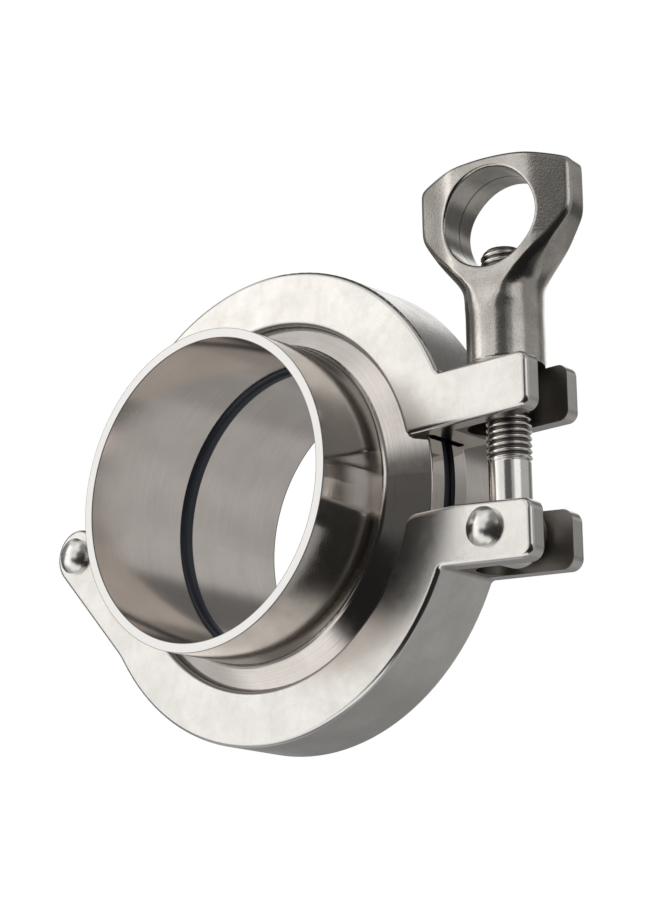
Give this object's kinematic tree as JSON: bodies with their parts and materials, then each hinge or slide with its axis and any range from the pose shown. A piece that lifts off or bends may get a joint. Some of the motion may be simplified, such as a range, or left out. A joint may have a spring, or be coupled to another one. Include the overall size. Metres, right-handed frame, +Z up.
{
  "type": "sanitary hinged clamp",
  "caption": "Hinged pipe clamp closed over flanged weld ferrules and their gasket, locked by a swing bolt and a wing nut with a round finger hole.",
  "frame": {"origin": "on the bore axis, in the middle of the gasket", "axes": "+Y along the bore away from the front weld end, +X from the hinge side to the bolt side, +Z up along the closed swing bolt towards the wing nut"},
  "size_m": [0.1047, 0.043, 0.0856],
  "materials": {
    "clamp_steel": "bead-blasted satin faces with polished edges",
    "pin_steel": "polished domes",
    "bolt_steel": "machined and polished",
    "nut_steel": "tumbled satin casting",
    "ferrule_steel": "turned satin outside, drawn tube inside",
    "gasket_rubber": "smooth, slightly glossy"
  },
  "bodies": {
    "clamp_base": {"lower_clamp_half": "clamp_steel", "front_ferrule": "ferrule_steel", "rear_ferrule": "ferrule_steel", "gasket": "gasket_rubber", "hinge_pin": "pin_steel", "bolt_pivot_pin": "pin_steel"},
    "upper_half": {"upper_clamp_half": "clamp_steel"},
    "bolt": {"swing_bolt": "bolt_steel"},
    "nut": {"wing_nut": "nut_steel"}
  },
  "joints": [
    {"name": "bolt_swing", "type": "hinge", "parent": "clamp_base", "child": "bolt", "pos_m": [0.0435, 0, -0.011], "axis": [0, 1, 0], "range_deg": [0, 90]},
    {"name": "wing_nut_travel", "type": "slide", "parent": "bolt", "child": "nut", "axis": [0, 0, 1], "range_m": [0, 0.0156]},
    {"name": "upper_hinge", "type": "hinge", "parent": "clamp_base", "child": "upper_half", "pos_m": [-0.0433, 0, -0.00085], "axis": [0, -1, 0], "range_deg": [0, 110]}
  ],
  "couplings": [
    {"joint": "wing_nut_travel", "follows": "bolt_swing", "m_per_rad": 0.0096},
    {"joint": "upper_hinge", "follows": "bolt_swing", "ratio": 0.04}
  ]
}
